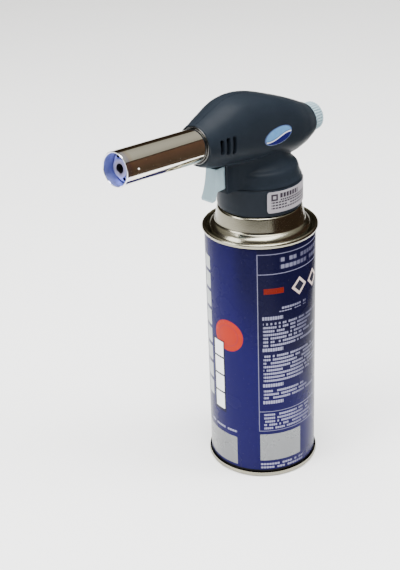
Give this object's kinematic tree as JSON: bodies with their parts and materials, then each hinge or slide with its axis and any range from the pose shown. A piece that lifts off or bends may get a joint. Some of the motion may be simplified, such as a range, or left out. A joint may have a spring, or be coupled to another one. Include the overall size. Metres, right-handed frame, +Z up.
{
  "type": "butane torch",
  "caption": "Hand-held butane torch: tilted chrome burner tube on a moulded head with trigger igniter and gas knob, locked by bayonet onto an upright gas cartridge.",
  "frame": {"origin": "on the floor plane under the cartridge's bottom seam, at the centre of the whole object's bounding box; the cartridge axis is vertical and stands 30.794 mm behind the origin, on the -X side", "axes": "+Z up along the cartridge; +X the way the burner points, which climbs 4 degrees towards its mouth; +Y the torch's left side, seen from behind the knob"},
  "size_m": [0.1586, 0.0684, 0.2395],
  "materials": {
    "can_print": "glossy printed lacquer, royal blue with plain panels, bars and shapes",
    "tinplate": "bright drawn tinplate, slightly warm, fine rolling marks",
    "valve_nylon": "natural nylon",
    "rubber": "matt black nitrile",
    "spring_steel": "bright spring wire and stamped clips",
    "housing_plastic": "blue-black moulded nylon with a fine satin texture",
    "zinc": "die-cast, plain",
    "brass": "machined brass",
    "screw_steel": "zinc-plated steel",
    "label_film": "printed film label, pale lilac grey, bars and a plain symbol only",
    "badge_gloss": "domed oval badge, light blue over dark blue, no lettering",
    "burner_chrome": "polished chrome with blue and violet heat tint at the mouth",
    "mixer_steel": "drawn stainless tube",
    "bezel_gloss": "gloss black",
    "ceramic": "unglazed white ceramic",
    "lead_insulation": "black silicone insulation",
    "piezo_plastic": "natural moulded plastic",
    "grey_plastic": "pale blue-grey moulded plastic, satin"
  },
  "bodies": {
    "cartridge": {"cartridge_body": "can_print", "cartridge_dome": "tinplate", "cartridge_base": "tinplate", "valve_cup": "tinplate", "bayonet_flange": "tinplate", "valve_housing": "valve_nylon", "stem_gasket": "rubber", "dip_tube": "valve_nylon", "valve_spring": "spring_steel"},
    "valve_stem": {"valve_stem": "valve_nylon"},
    "head": {"base_collar": "housing_plastic", "bayonet_adapter": "zinc", "inlet_fitting": "brass", "inlet_seal": "rubber", "caution_label": "label_film", "housing_left": "housing_plastic", "housing_right": "housing_plastic", "side_badge": "badge_gloss", "housing_screw_1": "screw_steel", "housing_screw_2": "screw_steel", "housing_screw_3": "screw_steel", "housing_screw_4": "screw_steel", "valve_body": "brass", "gland_nut": "brass", "burner_tube": "burner_chrome", "flame_head": "brass", "mixer_tube": "mixer_steel", "tube_bulkhead": "zinc", "tube_clip": "spring_steel", "tube_bezel": "bezel_gloss", "gas_jet": "brass", "electrode_insulator": "ceramic", "igniter_electrode": "screw_steel", "electrode_lead": "lead_insulation", "piezo_case": "piezo_plastic", "piezo_spring": "spring_steel"},
    "knob": {"regulator_knob": "grey_plastic", "knob_clip": "spring_steel"},
    "spindle": {"needle_spindle": "brass", "spindle_o_ring": "rubber"},
    "trigger": {"trigger": "grey_plastic", "piezo_plunger": "piezo_plastic"}
  },
  "joints": [
    {"name": "head_twist", "type": "hinge", "parent": "cartridge", "child": "head", "pos_m": [-0.03079, 0, 0.1728], "axis": [0, 0, 1], "range_deg": [0, 35]},
    {"name": "knob_turn", "type": "hinge", "parent": "head", "child": "knob", "pos_m": [-0.06939, 0, 0.2094], "axis": [-1, 0, 0], "range_deg": [0, 540]},
    {"name": "spindle_travel", "type": "slide", "parent": "knob", "child": "spindle", "axis": [-1, 0, 0], "range_m": [0, 0.00075]},
    {"name": "trigger_pull", "type": "slide", "parent": "head", "child": "trigger", "axis": [-1, 0, 0], "range_m": [0, 0.0045], "stiffness_N_per_m": 1500, "springref_m": -0.002, "deforming": ["piezo_spring"]},
    {"name": "stem_press", "type": "slide", "parent": "cartridge", "child": "valve_stem", "axis": [0, 0, -1], "range_m": [0, 0.001], "stiffness_N_per_m": 2000, "springref_m": -0.002, "deforming": ["valve_spring"]}
  ],
  "couplings": [
    {"joint": "knob_turn", "follows": "spindle_travel", "rad_per_m": 12566}
  ]
}
